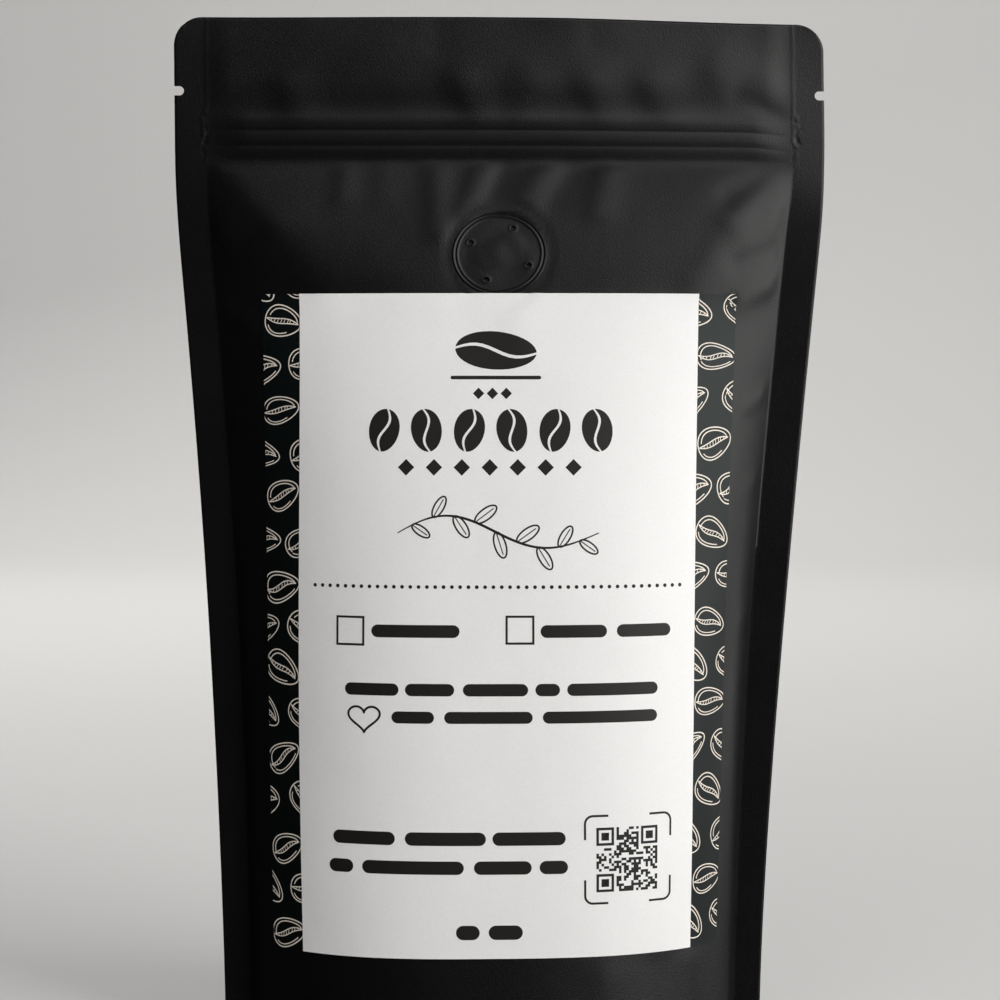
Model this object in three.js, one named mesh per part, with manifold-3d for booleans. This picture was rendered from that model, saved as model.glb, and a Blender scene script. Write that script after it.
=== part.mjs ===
// A filled, shut stand-up coffee pouch: sealed film sides, a flat header with tear notches,
// the ridges of the press-to-close strip, an open bottom gusset, a one-way valve and a label of two layers.
// Millimetres, +Z up, the front faces -Y, and the origin is on the ground under the middle of the bag.
import * as THREE from "three";
import { LoftGeometry } from "three/addons/geometries/LoftGeometry.js";
import { mergeVertices } from "three/addons/utils/BufferGeometryUtils.js";
import Module from "manifold-3d";

const wasm = await Module();
wasm.setup();

// Driving dimensions of the bag
const bagWidth = 184.6;
const bagHeight = 290.6;
const sealWidth = 9;
const footSealWidth = 7.7; // the sealed sides narrow towards the foot
const sealThickness = 1;
const cornerRadius = 8;
const footHalfWidth = 77.2; // over the sealed sides, with the gusset open
const footHalfDepth = 33.8;
const panelFlatness = 1.8; // 1 bends the panel evenly; more keeps its middle flat and bends it near the seals
const extraBackDepth = 1.1; // the back panel is this much fuller, as far as the label stands out in front
const taperTop = 240; // the sealed sides run straight up from here
const mouthHeight = 250.8; // the panels meet here, just under the press-to-close strip
const mouthBend = 0.8; // how softly the panels part there
const footShift = -1.7; // the foot stands this far to the left of the bag's waist
const waistShift = -0.6; // and the waist this far to the left of the header
const footTwistDeg = 3;
const headerTwistDeg = 4;
const headerCurl = 2; // how far the right half of the header bends back
const leftDrop = 0.65; // how far the header's ends lie lower than its middle
const rightDrop = 1.3;

// Ridges of the press-to-close strip under the film: middle height, half width and height of each
const zipRidges = [
  { middle: 261.3, half: 2.6, rise: 0.8 },
  { middle: 256.3, half: 2.2, rise: 0.8 },
  { middle: 252.6, half: 1.5, rise: 0.5 },
];

// Tear notches, one in each side seal
const notchDepth = 2.7;
const notchHeight = 2.6;
const notchDrop = 20.7; // below the top edge

// Foot: the sealed skirt and the gusset film inside it
const skirtThickness = 1.2;
const skirtHeight = 6;

// Folds in the film. foot and tip are (across, up) as seen from the front, rise is outwards.
const frontFolds = [
  { foot: [-10, 237], tip: [-6, 249], half: 3.6, rise: 0.6 },
  { foot: [5, 237], tip: [13, 249], half: 3.6, rise: 0.6 },
  { foot: [27, 234], tip: [31, 249], half: 3.8, rise: 0.6 },
  { foot: [-45, 240], tip: [-44, 249], half: 4, rise: 0.5 },
  { foot: [-3, 240], tip: [1, 249], half: 3.2, rise: -0.4 },
  { foot: [15, 238], tip: [20, 249], half: 3.4, rise: -0.4 },
];
const headerFolds = [
  { foot: [-58, 264], tip: [-61, 276], half: 6, rise: 0.5 },
  { foot: [-7, 264], tip: [-13, 275], half: 5.5, rise: 0.5 },
  { foot: [6, 264], tip: [8, 274], half: 5, rise: 0.4 },
  { foot: [29, 264], tip: [25, 274], half: 5, rise: 0.5 },
  { foot: [47, 264], tip: [43, 274], half: 5, rise: 0.5 },
  { foot: [82, 267], tip: [62, 276], half: 5, rise: 0.5 },
];
// Puckers that run in from a side seal, the height of each and how far it dips towards the middle
const puckerHeights = [224, 207, 187, 165, 138];
const puckerReach = 15;
const puckerDrop = 9;
const puckerHalf = 4;
const puckerRise = 0.9;

// Label: a dark backing with a white face stuck on it
const labelFoot = 28.5;
const labelHeight = 185;
const backingWidth = 137;
const faceWidth = 114;
const labelThickness = 0.3;
const filmGap = 0.35;

// One-way valve: a disc with a raised welding ring and four pinholes
const valveMiddle = 224.6;
const valveRadius = 12.6;
const valveRing = 1.7; // width of the ring
const valveRise = 0.9;
const valvePlate = 0.45;
const pinholeRadius = 0.45;
const pinholeCircle = 8.4;
const pinholeTurnDeg = 66;
const pinholeDepth = 0.3;

// How finely the surfaces are cut
const panelColumns = 26;
const bodyRows = 30;
const labelColumns = 18;
const labelRows = 18;

const smooth = (t) => {
  const s = Math.min(1, Math.max(0, t));
  return s * s * (3 - 2 * s);
};
const degrees = (d) => (d * Math.PI) / 180;
const panelHalf = bagWidth / 2 - sealWidth; // half the film between the side seals

// t up to 1 with a rounded bend where it stops growing
function roundedLimit(t, bend) {
  if (t <= 1 - bend) return t;
  if (t >= 1 + bend) return 1;
  return t - (t - 1 + bend) ** 2 / (4 * bend);
}

// Half the width over the sealed sides, before the top corners are rounded
function sideAt(z) {
  const share = roundedLimit((z / taperTop) ** 1.5, 0.08);
  return footHalfWidth + (bagWidth / 2 - footHalfWidth) * share;
}

function outerSideAt(z) {
  const above = Math.max(0, z - (bagHeight - cornerRadius));
  return sideAt(z) - cornerRadius + Math.sqrt(cornerRadius ** 2 - above ** 2);
}

// Half the width between the side seals
const seamAt = (z) => sideAt(z) - footSealWidth - (sealWidth - footSealWidth) * smooth(z / 170);

// A corner of the outer edge of a side seal
const finTip = (side, z, front) => settle(side * outerSideAt(z), ((front ? -1 : 1) * sealThickness) / 2, z);

// How far the filled panel stands off the plane of the side seals at its middle
function halfDepthAt(z, front) {
  const full = footHalfDepth + (front ? 0 : extraBackDepth);
  return Math.hypot(full * Math.max(0, 1 - (z / mouthHeight) ** 2.6) ** 0.85, mouthBend) - mouthBend;
}

// One panel's half section, as a film of constant length whose slope grows from the middle to the seal.
// share runs from 0 at the middle to 1 at the seal. It gives the shares of the half width and the half depth.
function panelSection(share, depth) {
  const fullness = depth / panelHalf;
  const edgeSlope = Math.max(0.01, (panelFlatness + 1) * fullness * (1 + 0.7 * fullness ** 2));
  const steps = 24;
  let run = 0;
  let fall = 0;
  let runHere = 0;
  let fallHere = 0;
  for (let k = 0; k < steps; k++) {
    const t = (k + 0.5) / steps;
    const slope = edgeSlope * t ** panelFlatness;
    const covered = Math.min(1, Math.max(0, share * steps - k));
    run += Math.cos(slope);
    fall += Math.sin(slope);
    runHere += Math.cos(slope) * covered;
    fallHere += Math.sin(slope) * covered;
  }
  return { across: runHere / run, out: 1 - fallHere / fall };
}

function foldRise(folds, x, z) {
  let rise = 0;
  for (const fold of folds) {
    const [ax, az] = fold.foot;
    const [bx, bz] = fold.tip;
    const length = Math.hypot(bx - ax, bz - az);
    const along = ((x - ax) * (bx - ax) + (z - az) * (bz - az)) / length;
    const off = ((x - ax) * (bz - az) - (z - az) * (bx - ax)) / length;
    const beyond = Math.max(0, -along, along - length) / fold.half;
    rise += fold.rise * Math.exp(-((off / fold.half) ** 2) - beyond ** 2);
  }
  return rise;
}

function puckersAt(x, z, seam) {
  const inwards = seam - Math.abs(x);
  const fade = smooth(inwards / 3) * (1 - smooth(inwards / puckerReach));
  let rise = 0;
  for (const height of puckerHeights) {
    const off = z - height + (inwards / puckerReach) * puckerDrop;
    rise += puckerRise * Math.exp(-((off / puckerHalf) ** 2));
  }
  return rise * fade;
}

function zipAt(z) {
  let rise = 0;
  for (const ridge of zipRidges) {
    const off = (z - ridge.middle) / ridge.half;
    if (Math.abs(off) < 1) rise += ridge.rise * Math.cos((off * Math.PI) / 2) ** 0.8;
  }
  return rise;
}

// The whole bag's lean: the shift and twist of the foot, and the twist, curl and drop of the header
function settle(x, y, z) {
  const lean = footShift * (1 - smooth(z / 210)) + waistShift * (1 - smooth((z - 215) / 55));
  const twist =
    degrees(footTwistDeg) * (1 - smooth(z / 150)) + degrees(headerTwistDeg) * smooth((z - 215) / 75);
  const inHeader = smooth((z - 235) / 55);
  const curl = headerCurl * smooth((x - 10) / 82) * inHeader;
  const drop = (leftDrop * smooth((-x - 5) / 75) + rightDrop * smooth((x - 5) / 85)) * inHeader;
  const turnedX = x * Math.cos(twist) - y * Math.sin(twist);
  const turnedY = x * Math.sin(twist) + y * Math.cos(twist);
  return new THREE.Vector3(turnedX + lean, turnedY + curl, z - drop);
}

// A point of a panel. share is -1 at the left seal and 1 at the right one, measured along the film.
function panelPoint(share, z, front) {
  const seam = seamAt(z);
  const depth = halfDepthAt(z, front);
  const section = panelSection(Math.abs(share), depth);
  const x = Math.sign(share) * section.across * seam;
  const zipEnds = 1 - smooth((Math.abs(share) - 0.95) / 0.05);
  let out = sealThickness / 2 + depth * section.out + zipAt(z) * zipEnds;
  out += puckersAt(x, z, seam) * smooth((depth - 4) / 8);
  const clearOfValve = smooth((Math.hypot(x, z - valveMiddle) - valveRadius) / 4);
  if (front) out += foldRise(frontFolds, x, z) * clearOfValve * smooth((mouthHeight - z) / 2);
  const wave = foldRise(headerFolds, x, z) * smooth((z - zipRidges[0].middle) / 4) * zipEnds;
  return settle(x, (front ? -out : out) - wave, z);
}

// A ring of points round the bag at a height: along the back from right to left, then along the front
function bagRing(z) {
  const ring = [];
  for (const front of [false, true]) {
    const from = front ? -1 : 1;
    ring.push(finTip(from, z, front));
    for (let k = 0; k <= panelColumns; k++)
      ring.push(panelPoint(from * (1 - (2 * k) / panelColumns), z, front));
    ring.push(finTip(-from, z, front));
  }
  return ring;
}

// The ring of the panels alone, without the sealed sides, drawn in towards its middle
function innerRing(z, outlineHeight, inset, scale) {
  const ring = [];
  const middle = settle(0, 0, outlineHeight);
  for (const front of [false, true])
    for (let k = 0; k < panelColumns; k++) {
      const share = (front ? -1 : 1) * (1 - (2 * k) / panelColumns);
      const spoke = panelPoint(share * 0.985, outlineHeight, front).sub(middle);
      spoke.setLength(Math.max(0.5, spoke.length() - inset) * scale);
      ring.push(new THREE.Vector3(middle.x + spoke.x, middle.y + spoke.y, z));
    }
  return ring;
}

// Heights of the rings: even up the body and finer over the strip, where each ridge needs its own
function ringHeights() {
  const heights = [];
  const bodyTop = zipRidges[2].middle - zipRidges[2].half - 0.6;
  for (let k = 0; k <= bodyRows; k++) heights.push(bodyTop * (1 - (1 - k / bodyRows) ** 1.25));
  for (const ridge of [...zipRidges].reverse())
    for (const part of [-0.95, -0.35, 0.35, 0.95]) heights.push(ridge.middle + part * ridge.half);
  const headerFoot = zipRidges[0].middle + zipRidges[0].half + 0.8;
  const cornerFoot = bagHeight - cornerRadius;
  for (const part of [0, 0.3, 0.65, 1]) heights.push(headerFoot + (cornerFoot - headerFoot) * part);
  for (const turn of [22, 42, 60, 75, 90]) heights.push(cornerFoot + cornerRadius * Math.sin(degrees(turn)));
  return heights;
}

function solidOf(shape) {
  const geometry = new THREE.BufferGeometry();
  geometry.setAttribute("position", shape.getAttribute("position"));
  geometry.setIndex(shape.index);
  const merged = mergeVertices(geometry, 1e-3);
  return new wasm.Manifold(
    new wasm.Mesh({
      numProp: 3,
      vertProperties: merged.getAttribute("position").array,
      triVerts: new Uint32Array(merged.index.array),
    }),
  );
}

function geometryOf(solid) {
  const mesh = solid.getMesh();
  const geometry = new THREE.BufferGeometry();
  geometry.setAttribute("position", new THREE.BufferAttribute(mesh.vertProperties, 3));
  geometry.setIndex(new THREE.BufferAttribute(mesh.triVerts, 1));
  geometry.computeVertexNormals();
  return geometry;
}

function named(name, geometry, look) {
  const mesh = new THREE.Mesh(geometry, new THREE.MeshStandardMaterial(look));
  mesh.name = name;
  return mesh;
}

// A slot with a round end, cut into the side seal from its edge
function notchTool(side) {
  const outline = new THREE.Shape();
  const half = notchHeight / 2;
  outline.moveTo(4, -half * 1.15);
  outline.lineTo(4, half * 1.15);
  outline.lineTo(-notchDepth + half, half);
  outline.absarc(-notchDepth + half, 0, half, Math.PI / 2, (3 * Math.PI) / 2, false);
  outline.closePath();
  const slot = new THREE.ExtrudeGeometry(outline, { depth: 40, bevelEnabled: false, curveSegments: 8 });
  slot.translate(0, 0, -20);
  slot.rotateX(Math.PI / 2);
  if (side < 0) slot.rotateY(Math.PI);
  const edge = settle(side * outerSideAt(bagHeight - notchDrop), 0, bagHeight - notchDrop);
  slot.translate(edge.x, edge.y, edge.z);
  return solidOf(slot);
}

// The hollow inside the skirt, less the gusset film that sags through it to the ground
function gussetHollow() {
  const hollow = new LoftGeometry(
    [
      innerRing(-1, 0, skirtThickness, 1),
      innerRing(0, 0, skirtThickness, 1),
      innerRing(skirtHeight, 0, skirtThickness + 1.5, 1),
    ],
    { capStart: true, capEnd: true },
  );
  const sag = [
    { height: -2, scale: 0.45 },
    { height: 0, scale: 0.5 },
    { height: 0.6, scale: 0.62 },
    { height: 2.4, scale: 0.8 },
    { height: skirtHeight + 1, scale: 0.97 },
  ];
  const film = new LoftGeometry(
    sag.map((s) => innerRing(s.height, 0, 0, s.scale)),
    { capStart: true, capEnd: true },
  );
  return solidOf(hollow).subtract(solidOf(film));
}

function pouchGeometry() {
  const body = new LoftGeometry(ringHeights().map(bagRing), { capStart: true, capEnd: true });
  return geometryOf(solidOf(body).subtract(gussetHollow()).subtract(notchTool(1)).subtract(notchTool(-1)));
}

// The height reached after going a distance up the middle of the front film
function heightUpFilm(from, distance) {
  const steps = 24;
  let z = from;
  for (let k = 0; k < steps; k++) {
    const slope = (halfDepthAt(z + 1, true) - halfDepthAt(z - 1, true)) / 2;
    z += distance / steps / Math.hypot(1, slope);
  }
  return z;
}

// The point of the front at a place on the film and a height off it
function onFront(across, up, off, from) {
  const z = heightUpFilm(from, up);
  const share = across / panelHalf;
  const point = panelPoint(share, z, true);
  const right = panelPoint(share + 0.01, z, true).sub(panelPoint(share - 0.01, z, true));
  const rise = panelPoint(share, z + 1, true).sub(panelPoint(share, z - 1, true));
  const outwards = right.cross(rise).normalize();
  return { point: point.addScaledVector(outwards, off), outwards };
}

// Wraps a flat geometry that faces -Y onto the front: x goes across the film and z goes up it
function laidOnFront(geometry, from, gap) {
  const position = geometry.getAttribute("position");
  for (let i = 0; i < position.count; i++) {
    const { point } = onFront(position.getX(i), position.getZ(i), gap - position.getY(i), from);
    position.setXYZ(i, point.x, point.y, point.z);
  }
  return geometry;
}

function labelLayer(width, layer) {
  const sheet = new THREE.BoxGeometry(width, labelThickness, labelHeight, labelColumns, 1, labelRows);
  sheet.translate(0, -labelThickness / 2, labelHeight / 2);
  const gap = filmGap + layer * (labelThickness + filmGap - 0.05);
  return laidOnFront(sheet, labelFoot, gap);
}

function valveGeometry() {
  const inner = valveRadius - valveRing;
  const profile = [
    [0, valvePlate * 1.25],
    [inner * 0.4, valvePlate * 1.15],
    [inner * 0.75, valvePlate],
    [inner, valvePlate * 0.8],
    [valveRadius - valveRing * 0.75, valveRise * 0.95],
    [valveRadius - valveRing * 0.35, valveRise],
    [valveRadius, valveRise * 0.6],
    [valveRadius, 0],
    [inner, 0],
    [inner * 0.5, 0],
    [0, 0],
  ].map(([r, rise]) => new THREE.Vector2(r, -rise));
  let solid = solidOf(laidOnFront(new THREE.LatheGeometry(profile, 36), valveMiddle, filmGap));
  for (let k = 0; k < 4; k++) {
    const turn = degrees(pinholeTurnDeg + 90 * k);
    const across = pinholeCircle * Math.cos(turn);
    const up = pinholeCircle * Math.sin(turn);
    const { point, outwards } = onFront(across, up, filmGap + valvePlate * 1.2 - pinholeDepth + 1, valveMiddle);
    const drill = new THREE.CylinderGeometry(pinholeRadius, pinholeRadius, 2, 10);
    drill.applyQuaternion(new THREE.Quaternion().setFromUnitVectors(new THREE.Vector3(0, 1, 0), outwards));
    drill.translate(point.x, point.y, point.z);
    solid = solid.subtract(solidOf(drill));
  }
  return geometryOf(solid);
}

const bag = new THREE.Group();
bag.add(
  named("pouch", pouchGeometry(), { color: 0x1c1c1d, roughness: 0.5, metalness: 0 }),
  named("degassing_valve", valveGeometry(), { color: 0x1f1f20, roughness: 0.5, metalness: 0 }),
  named("label_backing", labelLayer(backingWidth, 0), { color: 0x313a3b, roughness: 0.6, metalness: 0 }),
  named("label_face", labelLayer(faceWidth, 1), { color: 0xf1f0ee, roughness: 0.55, metalness: 0 }),
);

export default bag;
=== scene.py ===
import math
import random

import bpy
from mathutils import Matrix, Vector


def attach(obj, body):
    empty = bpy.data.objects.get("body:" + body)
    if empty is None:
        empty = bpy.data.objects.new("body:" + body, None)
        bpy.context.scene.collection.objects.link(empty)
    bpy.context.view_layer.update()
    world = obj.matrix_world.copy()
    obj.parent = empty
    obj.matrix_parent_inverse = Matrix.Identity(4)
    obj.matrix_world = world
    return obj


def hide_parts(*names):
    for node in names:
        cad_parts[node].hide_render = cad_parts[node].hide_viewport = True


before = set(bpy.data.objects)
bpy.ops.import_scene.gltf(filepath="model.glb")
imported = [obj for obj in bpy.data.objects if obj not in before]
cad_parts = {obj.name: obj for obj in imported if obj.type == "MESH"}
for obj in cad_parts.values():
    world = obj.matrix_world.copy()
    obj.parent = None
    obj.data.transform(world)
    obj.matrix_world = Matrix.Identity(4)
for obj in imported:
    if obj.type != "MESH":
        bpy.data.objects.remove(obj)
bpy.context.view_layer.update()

# Sizes are in millimetres and degrees, as in the part's own source, and become metres
# where the film rule ends. "Across" is measured along the film from the bag's middle.
mm = 0.001
upright = (math.pi / 2, 0, 0)

film = {
    "bagWidth": 184.6, "bagHeight": 290.6, "sealWidth": 9.0, "footSealWidth": 7.7, "cornerRadius": 8.0,
    "footHalfWidth": 77.2, "footHalfDepth": 34.6, "fullerBack": 1.1, "panelFlatness": 1.8,
    "mouthFlatness": 9.0, "taperTop": 240.0, "mouthHeight": 250.6, "mouthBend": 1.6, "halfGauge": 0.25,
    "footShift": -1.7, "footTwist": 3.0, "waistShift": -0.6, "headerTwist": 4.0, "headerCurl": 2.0,
    "leftDrop": 0.65, "rightDrop": 1.3, "waviness": 0.3, "pillow": 0.8, "stripRise": 1.25,
    "stripDroop": 1.0, "rightSealMore": 0.95, "finSwing": 1.0,
}
# A ring is given by its radius, half width and rise, and the groove by its distance out from the disc
valve = {"up": 223.5, "radius": 13.4, "rise": 0.10, "edge": 0.35, "pinholeCircle": 9.0, "pinholeTurn": 66.0,
         "slopeStretch": 0.885, "rings": [(12.95, 0.34, 0.26), (11.9, 0.32, 0.22)], "recess": 1.6,
         "groove": {"out": 1.0, "half": 0.9, "depth": 0.22}}


# Node helpers. A Wire is a socket that can be added, multiplied and so on: each sign is a Math node.
def connect(tree, value, socket):
    if isinstance(value, Wire):
        value = value.socket
    if isinstance(value, bpy.types.NodeSocket):
        tree.links.new(value, socket)
    else:
        socket.default_value = value


def addNode(tree, kind, sockets=None, **settings):
    node = tree.nodes.new(kind)
    for name, value in settings.items():
        setattr(node, name, value)
    for name, value in (sockets or {}).items():
        connect(tree, value, node.inputs[name])
    return node


class Wire:
    def __init__(self, tree, socket):
        self.tree = tree
        self.socket = socket

    def calc(self, operation, *others):
        return calc(self.tree, operation, self, *others)

    def __add__(self, other): return self.calc("ADD", other)
    def __radd__(self, other): return self.calc("ADD", other)
    def __sub__(self, other): return self.calc("SUBTRACT", other)
    def __rsub__(self, other): return calc(self.tree, "SUBTRACT", other, self)
    def __mul__(self, other): return self.calc("MULTIPLY", other)
    def __rmul__(self, other): return self.calc("MULTIPLY", other)
    def __truediv__(self, other): return self.calc("DIVIDE", other)
    def __rtruediv__(self, other): return calc(self.tree, "DIVIDE", other, self)
    def __pow__(self, other): return self.calc("POWER", other)
    def __neg__(self): return self.calc("MULTIPLY", -1.0)
    def min(self, other): return self.calc("MINIMUM", other)
    def max(self, other): return self.calc("MAXIMUM", other)
    def abs(self): return self.calc("ABSOLUTE")
    def sign(self): return self.calc("SIGN")
    def root(self): return self.calc("SQRT")
    def sin(self): return self.calc("SINE")
    def cos(self): return self.calc("COSINE")
    def bell(self): return calc(self.tree, "POWER", math.e, -(self ** 2))

    def ease(self, low, high, start=0.0, end=1.0, kind="SMOOTHSTEP"):
        node = addNode(self.tree, "ShaderNodeMapRange", {0: self, 1: low, 2: high, 3: start, 4: end},
                       interpolation_type=kind)
        return Wire(self.tree, node.outputs[0])


def calc(tree, operation, *values):
    node = addNode(tree, "ShaderNodeMath", dict(enumerate(values)), operation=operation)
    return Wire(tree, node.outputs[0])


def vectorMath(tree, operation, *values):
    node = addNode(tree, "ShaderNodeVectorMath", dict(enumerate(values)), operation=operation)
    return node.outputs[0]


def vector(tree, x, y, z):
    return Wire(tree, addNode(tree, "ShaderNodeCombineXYZ", {0: x, 1: y, 2: z}).outputs[0])


def parts(tree, value):
    node = addNode(tree, "ShaderNodeSeparateXYZ", {0: value})
    return [Wire(tree, s) for s in node.outputs]


def noise(tree, place, scale, detail):
    node = addNode(tree, "ShaderNodeTexNoise", {"Vector": place, "Scale": scale, "Detail": detail})
    return Wire(tree, node.outputs[0])


# A geometry node by the end of its type's name; gives its first output
def geo(tree, kind, sockets=None, **settings):
    return addNode(tree, "GeometryNode" + kind, sockets, **settings).outputs[0]


def join(tree, meshes):
    joined = addNode(tree, "GeometryNodeJoinGeometry")
    for mesh in meshes:
        connect(tree, mesh, joined.inputs[0])
    return joined.outputs[0]


# A height read off a drawn curve, which bends sharply at the places listed as sharp
def profile(tree, value, drawn):
    low, high = drawn["low"], drawn["high"]
    node = addNode(tree, "ShaderNodeFloatCurve", {"Value": value.ease(low, high, 0, 1, "LINEAR")})
    curve = node.mapping.curves[0]
    while len(curve.points) < len(drawn["points"]):
        curve.points.new(0.5, 0.5)
    for point, (place, height) in zip(curve.points, drawn["points"]):
        point.location = ((place - low) / (high - low), height)
        point.handle_type = "VECTOR" if place in drawn["sharp"] else "AUTO_CLAMPED"
    node.mapping.update()
    return Wire(tree, node.outputs[0])


socketKinds = {
    int: "NodeSocketInt", float: "NodeSocketFloat", Vector: "NodeSocketVector", tuple: "NodeSocketColor",
    str: "NodeSocketGeometry", type(None): "NodeSocketMaterial"}


# A new tree with named inputs and outputs: a "mesh" value makes a geometry socket, None a material one
def newTree(name, inputs, outputs, kind="GeometryNodeTree"):
    tree = bpy.data.node_groups.new(name, kind)
    for side, sockets in (("INPUT", inputs), ("OUTPUT", outputs)):
        for key, default in sockets.items():
            socket = tree.interface.new_socket(key, in_out=side, socket_type=socketKinds[type(default)])
            if default is not None and not isinstance(default, str):
                socket.default_value = default
    given = tree.nodes.new("NodeGroupInput").outputs
    result = tree.nodes.new("NodeGroupOutput").inputs
    return tree, {key: Wire(tree, given[key]) for key in inputs}, result


# The tree of a piece: takes its own sizes, its material and the film's sizes, and gives a mesh
def pieceTree(name, sizes):
    return newTree(name, {**sizes, "material": None, **film}, {"mesh": "mesh"})


def useTree(tree, inner, sockets):
    kind = "GeometryNodeGroup" if tree.bl_idname == "GeometryNodeTree" else "ShaderNodeGroup"
    node = tree.nodes.new(kind)
    node.node_tree = inner
    for name, value in sockets.items():
        connect(tree, value, node.inputs[name])
    return {s.name: Wire(tree, s) for s in node.outputs}


def finishMesh(tree, mesh, material, result, sharp=40):
    tooSharp = calc(tree, "GREATER_THAN", geo(tree, "InputMeshEdgeAngle"), math.radians(sharp))
    mesh = geo(tree, "RealizeInstances", {0: mesh})
    mesh = geo(tree, "SetShadeSmooth", {0: mesh, "Shade Smooth": True})
    mesh = geo(tree, "SetShadeSmooth", {0: mesh, "Selection": tooSharp, "Shade Smooth": False}, domain="EDGE")
    mesh = geo(tree, "SetMaterial", {"Geometry": mesh, "Material": material})
    connect(tree, mesh, result["mesh"])


# Runs a tree on an object once, at the film's sizes and the values given, and keeps the plain mesh it makes
def grow(name, tree, values, start=None):
    values = {**film, **values}
    piece = bpy.data.objects.new(name, start or bpy.data.meshes.new(name))
    bpy.context.scene.collection.objects.link(piece)
    modifier = piece.modifiers.new("grow", "NODES")
    modifier.node_group = tree
    for socket in tree.interface.items_tree:
        if socket.in_out == "INPUT" and socket.name in values:
            modifier[socket.identifier] = values[socket.name]
    bpy.context.view_layer.update()
    depsgraph = bpy.context.evaluated_depsgraph_get()
    mesh = bpy.data.meshes.new_from_object(piece.evaluated_get(depsgraph),
                                           preserve_all_data_layers=True, depsgraph=depsgraph)
    piece.modifiers.clear()
    piece.data = mesh
    mesh.name = name
    triangles = sum(len(polygon.vertices) - 2 for polygon in mesh.polygons)
    print(f"{name}: {len(mesh.vertices)} vertices, {triangles} triangles")
    return piece


# Materials
grainLook = {"tone": (0.5, 0.5, 0.5, 1.0), "toneSpread": 0.1, "roughness": 0.5, "roughnessSpread": 0.05,
             "blotchScale": 40.0, "grainScale": 1500.0}


# Wide blotches and a fine grain in a surface's tone, roughness and height
def buildGrain():
    tree, given, result = newTree("filmGrain", grainLook, {
        "colour": (0.5, 0.5, 0.5, 1.0), "roughness": 0.5, "height": 0.0}, "ShaderNodeTree")
    place = addNode(tree, "ShaderNodeTexCoord").outputs["Object"]
    blotch = noise(tree, place, given["blotchScale"], 4.0)
    grain = noise(tree, place, given["grainScale"], 1.0)
    tone = 1 + ((blotch - 0.5) + (grain - 0.5) * 2.5) * given["toneSpread"]
    colour = vectorMath(tree, "MULTIPLY", given["tone"], vector(tree, tone, tone, tone))
    roughness = given["roughness"] + ((blotch - 0.5) * 2 + (grain - 0.5)) * given["roughnessSpread"]
    connect(tree, colour, result["colour"])
    connect(tree, roughness, result["roughness"])
    connect(tree, grain * 0.7 + blotch * 0.3, result["height"])
    return tree


grainTree = buildGrain()


def newMaterial(name, look):
    material = bpy.data.materials.new(name)
    material.use_nodes = True
    tree = material.node_tree
    shader = tree.nodes["Principled BSDF"]
    grain = useTree(tree, grainTree, {key: look[key] for key in grainLook})
    bump = addNode(tree, "ShaderNodeBump", {"Height": grain["height"], "Strength": look["bump"],
                                            "Distance": look["bumpDepth"] * mm})
    connect(tree, grain["colour"], shader.inputs["Base Color"])
    connect(tree, grain["roughness"], shader.inputs["Roughness"])
    connect(tree, bump.outputs[0], shader.inputs["Normal"])
    for socket, value in look["sockets"].items():
        shader.inputs[socket].default_value = value
    return material


filmLook = {"tone": (0.0032, 0.0032, 0.0034, 1), "toneSpread": 0.2, "roughness": 0.37,
            "roughnessSpread": 0.05, "blotchScale": 45.0, "grainScale": 3000.0, "bump": 1.0,
            "bumpDepth": 0.09, "sockets": {"Specular IOR Level": 0.45}}
valveLook = {**filmLook, "roughness": 0.4}
paperLook = {"tone": (0.86, 0.852, 0.845, 1), "toneSpread": 0.045, "roughness": 0.5,
             "roughnessSpread": 0.04, "blotchScale": 60.0, "grainScale": 2200.0, "bump": 0.3,
             "bumpDepth": 0.04, "sockets": {"Specular IOR Level": 0.35}}
slateLook = {**paperLook, "tone": (0.0026, 0.0046, 0.0046, 1), "toneSpread": 0.08, "roughness": 0.4,
             "sockets": {"Specular IOR Level": 0.37, "Specular Tint": (0.93, 1.0, 0.99, 1)}}
inkLook = {**paperLook, "tone": (0.012, 0.011, 0.01, 1), "toneSpread": 0.1}
beanInkLook = {**paperLook, "tone": (0.80, 0.73, 0.64, 1), "toneSpread": 0.05}

filmMaterial = newMaterial("matteFilm", filmLook)
valveMaterial = newMaterial("valveFilm", valveLook)
paperMaterial = newMaterial("labelPaper", paperLook)
slateMaterial = newMaterial("labelSlate", slateLook)
inkMaterial = newMaterial("blackInk", inkLook)
beanInkMaterial = newMaterial("creamInk", beanInkLook)
print("materials ready")

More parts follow.
